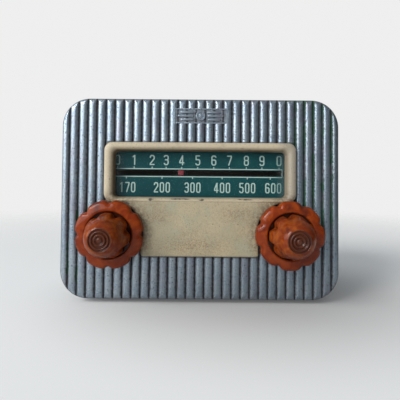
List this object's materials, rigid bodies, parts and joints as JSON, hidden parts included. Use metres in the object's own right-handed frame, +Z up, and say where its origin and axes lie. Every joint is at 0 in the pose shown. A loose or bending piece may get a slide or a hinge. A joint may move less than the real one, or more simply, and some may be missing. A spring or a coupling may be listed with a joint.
{
  "type": "tabletop radio",
  "caption": "Small mains valve radio with a ribbed metal front, cream dial frame and concentric scalloped knobs; cord-driven pointer and tuning capacitor inside.",
  "frame": {"origin": "Below the middle of the whole radio, on the plane its rubber feet stand on", "axes": "+X to the right as seen from the front, +Y from the front to the back, +Z up; the knobs point to -Y"},
  "size_m": [0.191, 0.13, 0.1405],
  "materials": {
    "ribbed_metal": "cast ribs, dull blue-grey silver, pitted",
    "case_metal": "hammered grey enamel",
    "pressed_board": "brown pressed board, slightly fuzzy",
    "cream_paint": "aged cream paint, speckled, chipped at the edges",
    "clear_glass": "clear flat glass",
    "dial_enamel": "dark teal enamel with off-white figures",
    "plated_steel": "dull zinc or cadmium plate",
    "lamp_glass": "small lamp envelope",
    "valve_glass": "valve envelope with a silvered top",
    "brass": "tarnished brass",
    "pointer_red": "red lacquer",
    "waxed_cord": "waxed twisted cord",
    "aluminium": "plain aluminium",
    "orange_bakelite": "glossy mottled red-orange bakelite",
    "brown_bakelite": "glossy mottled orange-brown bakelite",
    "black_moulding": "black phenolic moulding",
    "lacquered_iron": "black lacquered iron laminations",
    "cone_paper": "black felted paper",
    "rubber": "matt black rubber"
  },
  "bodies": {
    "radio": {"front_casing": "ribbed_metal", "rear_case": "case_metal", "rear_cover": "pressed_board", "escutcheon": "cream_paint", "dial_glass": "clear_glass", "dial_scale": "dial_enamel", "dial_backplate": "plated_steel", "dial_lamp": "lamp_glass", "lamp_holder": "brass", "pointer_rail": "plated_steel", "drive_cord": "waxed_cord", "capacitor_stator": "aluminium", "capacitor_frame": "plated_steel", "selector_switch": "black_moulding", "tone_control": "black_moulding", "volume_control": "black_moulding", "control_nut_left": "brass", "control_nut_right": "brass", "chassis": "plated_steel", "if_transformer_1": "aluminium", "if_transformer_2": "aluminium", "smoothing_capacitor": "aluminium", "mains_transformer": "lacquered_iron", "output_transformer": "lacquered_iron", "speaker_frame": "plated_steel", "speaker_magnet": "lacquered_iron", "mains_inlet": "black_moulding", "aerial_terminals": "brass", "valve_1": "valve_glass", "valve_socket_1": "black_moulding", "rubber_foot_1": "rubber", "cover_screw_1": "plated_steel", "valve_2": "valve_glass", "valve_socket_2": "black_moulding", "rubber_foot_2": "rubber", "cover_screw_2": "plated_steel", "valve_3": "valve_glass", "valve_socket_3": "black_moulding", "rubber_foot_3": "rubber", "cover_screw_3": "plated_steel", "valve_4": "valve_glass", "valve_socket_4": "black_moulding", "rubber_foot_4": "rubber", "cover_screw_4": "plated_steel"},
    "volume_knob_body": {"volume_knob": "brown_bakelite", "volume_shaft": "plated_steel"},
    "tone_knob_body": {"tone_knob": "orange_bakelite", "tone_sleeve": "brass"},
    "tuning_knob_body": {"tuning_knob": "brown_bakelite", "tuning_shaft": "plated_steel"},
    "selector_knob_body": {"selector_knob": "orange_bakelite", "selector_sleeve": "brass"},
    "pointer_body": {"pointer": "pointer_red", "pointer_carriage": "black_moulding"},
    "drum_body": {"drive_drum": "aluminium", "capacitor_shaft": "brass", "capacitor_rotor": "aluminium"},
    "idler_left_body": {"idler_pulley_left": "brass"},
    "idler_right_body": {"idler_pulley_right": "brass"},
    "speaker_cone_body": {"speaker_cone": "cone_paper"}
  },
  "joints": [
    {"name": "volume_turn", "type": "hinge", "parent": "radio", "child": "volume_knob_body", "pos_m": [-0.0601, -0.03, 0.04815], "axis": [0, 1, 0], "range_deg": [-145, 145]},
    {"name": "tone_turn", "type": "hinge", "parent": "radio", "child": "tone_knob_body", "pos_m": [-0.0601, -0.03, 0.04815], "axis": [0, 1, 0], "range_deg": [-135, 135]},
    {"name": "tuning_turn", "type": "hinge", "parent": "radio", "child": "tuning_knob_body", "pos_m": [0.0601, -0.03, 0.04815], "axis": [0, 1, 0], "range_deg": [-405, 639]},
    {"name": "selector_turn", "type": "hinge", "parent": "radio", "child": "selector_knob_body", "pos_m": [0.0601, -0.03, 0.04815], "axis": [0, 1, 0], "range_deg": [-30, 30]},
    {"name": "pointer_travel", "type": "slide", "parent": "radio", "child": "pointer_body", "axis": [1, 0, 0], "range_m": [-0.04246, 0.06697]},
    {"name": "drum_turn", "type": "hinge", "parent": "radio", "child": "drum_body", "pos_m": [0, -0.0067, 0.05], "axis": [0, 1, 0], "range_deg": [-70, 110.4]},
    {"name": "idler_left_turn", "type": "hinge", "parent": "radio", "child": "idler_left_body", "pos_m": [-0.07, -0.011, 0.0895], "axis": [0, 1, 0], "range_deg": [-487, 768]},
    {"name": "idler_right_turn", "type": "hinge", "parent": "radio", "child": "idler_right_body", "pos_m": [0.07, -0.011, 0.0895], "axis": [0, 1, 0], "range_deg": [-487, 768]},
    {"name": "speaker_cone_travel", "type": "slide", "parent": "radio", "child": "speaker_cone_body", "axis": [1, 0, 0], "range_m": [-0.001, 0.001], "stiffness_N_per_m": 1000}
  ],
  "couplings": [
    {"joint": "pointer_travel", "follows": "tuning_turn", "m_per_rad": 0.006},
    {"joint": "drum_turn", "follows": "tuning_turn", "ratio": 0.17241},
    {"joint": "idler_left_turn", "follows": "tuning_turn", "ratio": 1.2},
    {"joint": "idler_right_turn", "follows": "tuning_turn", "ratio": 1.2}
  ]
}
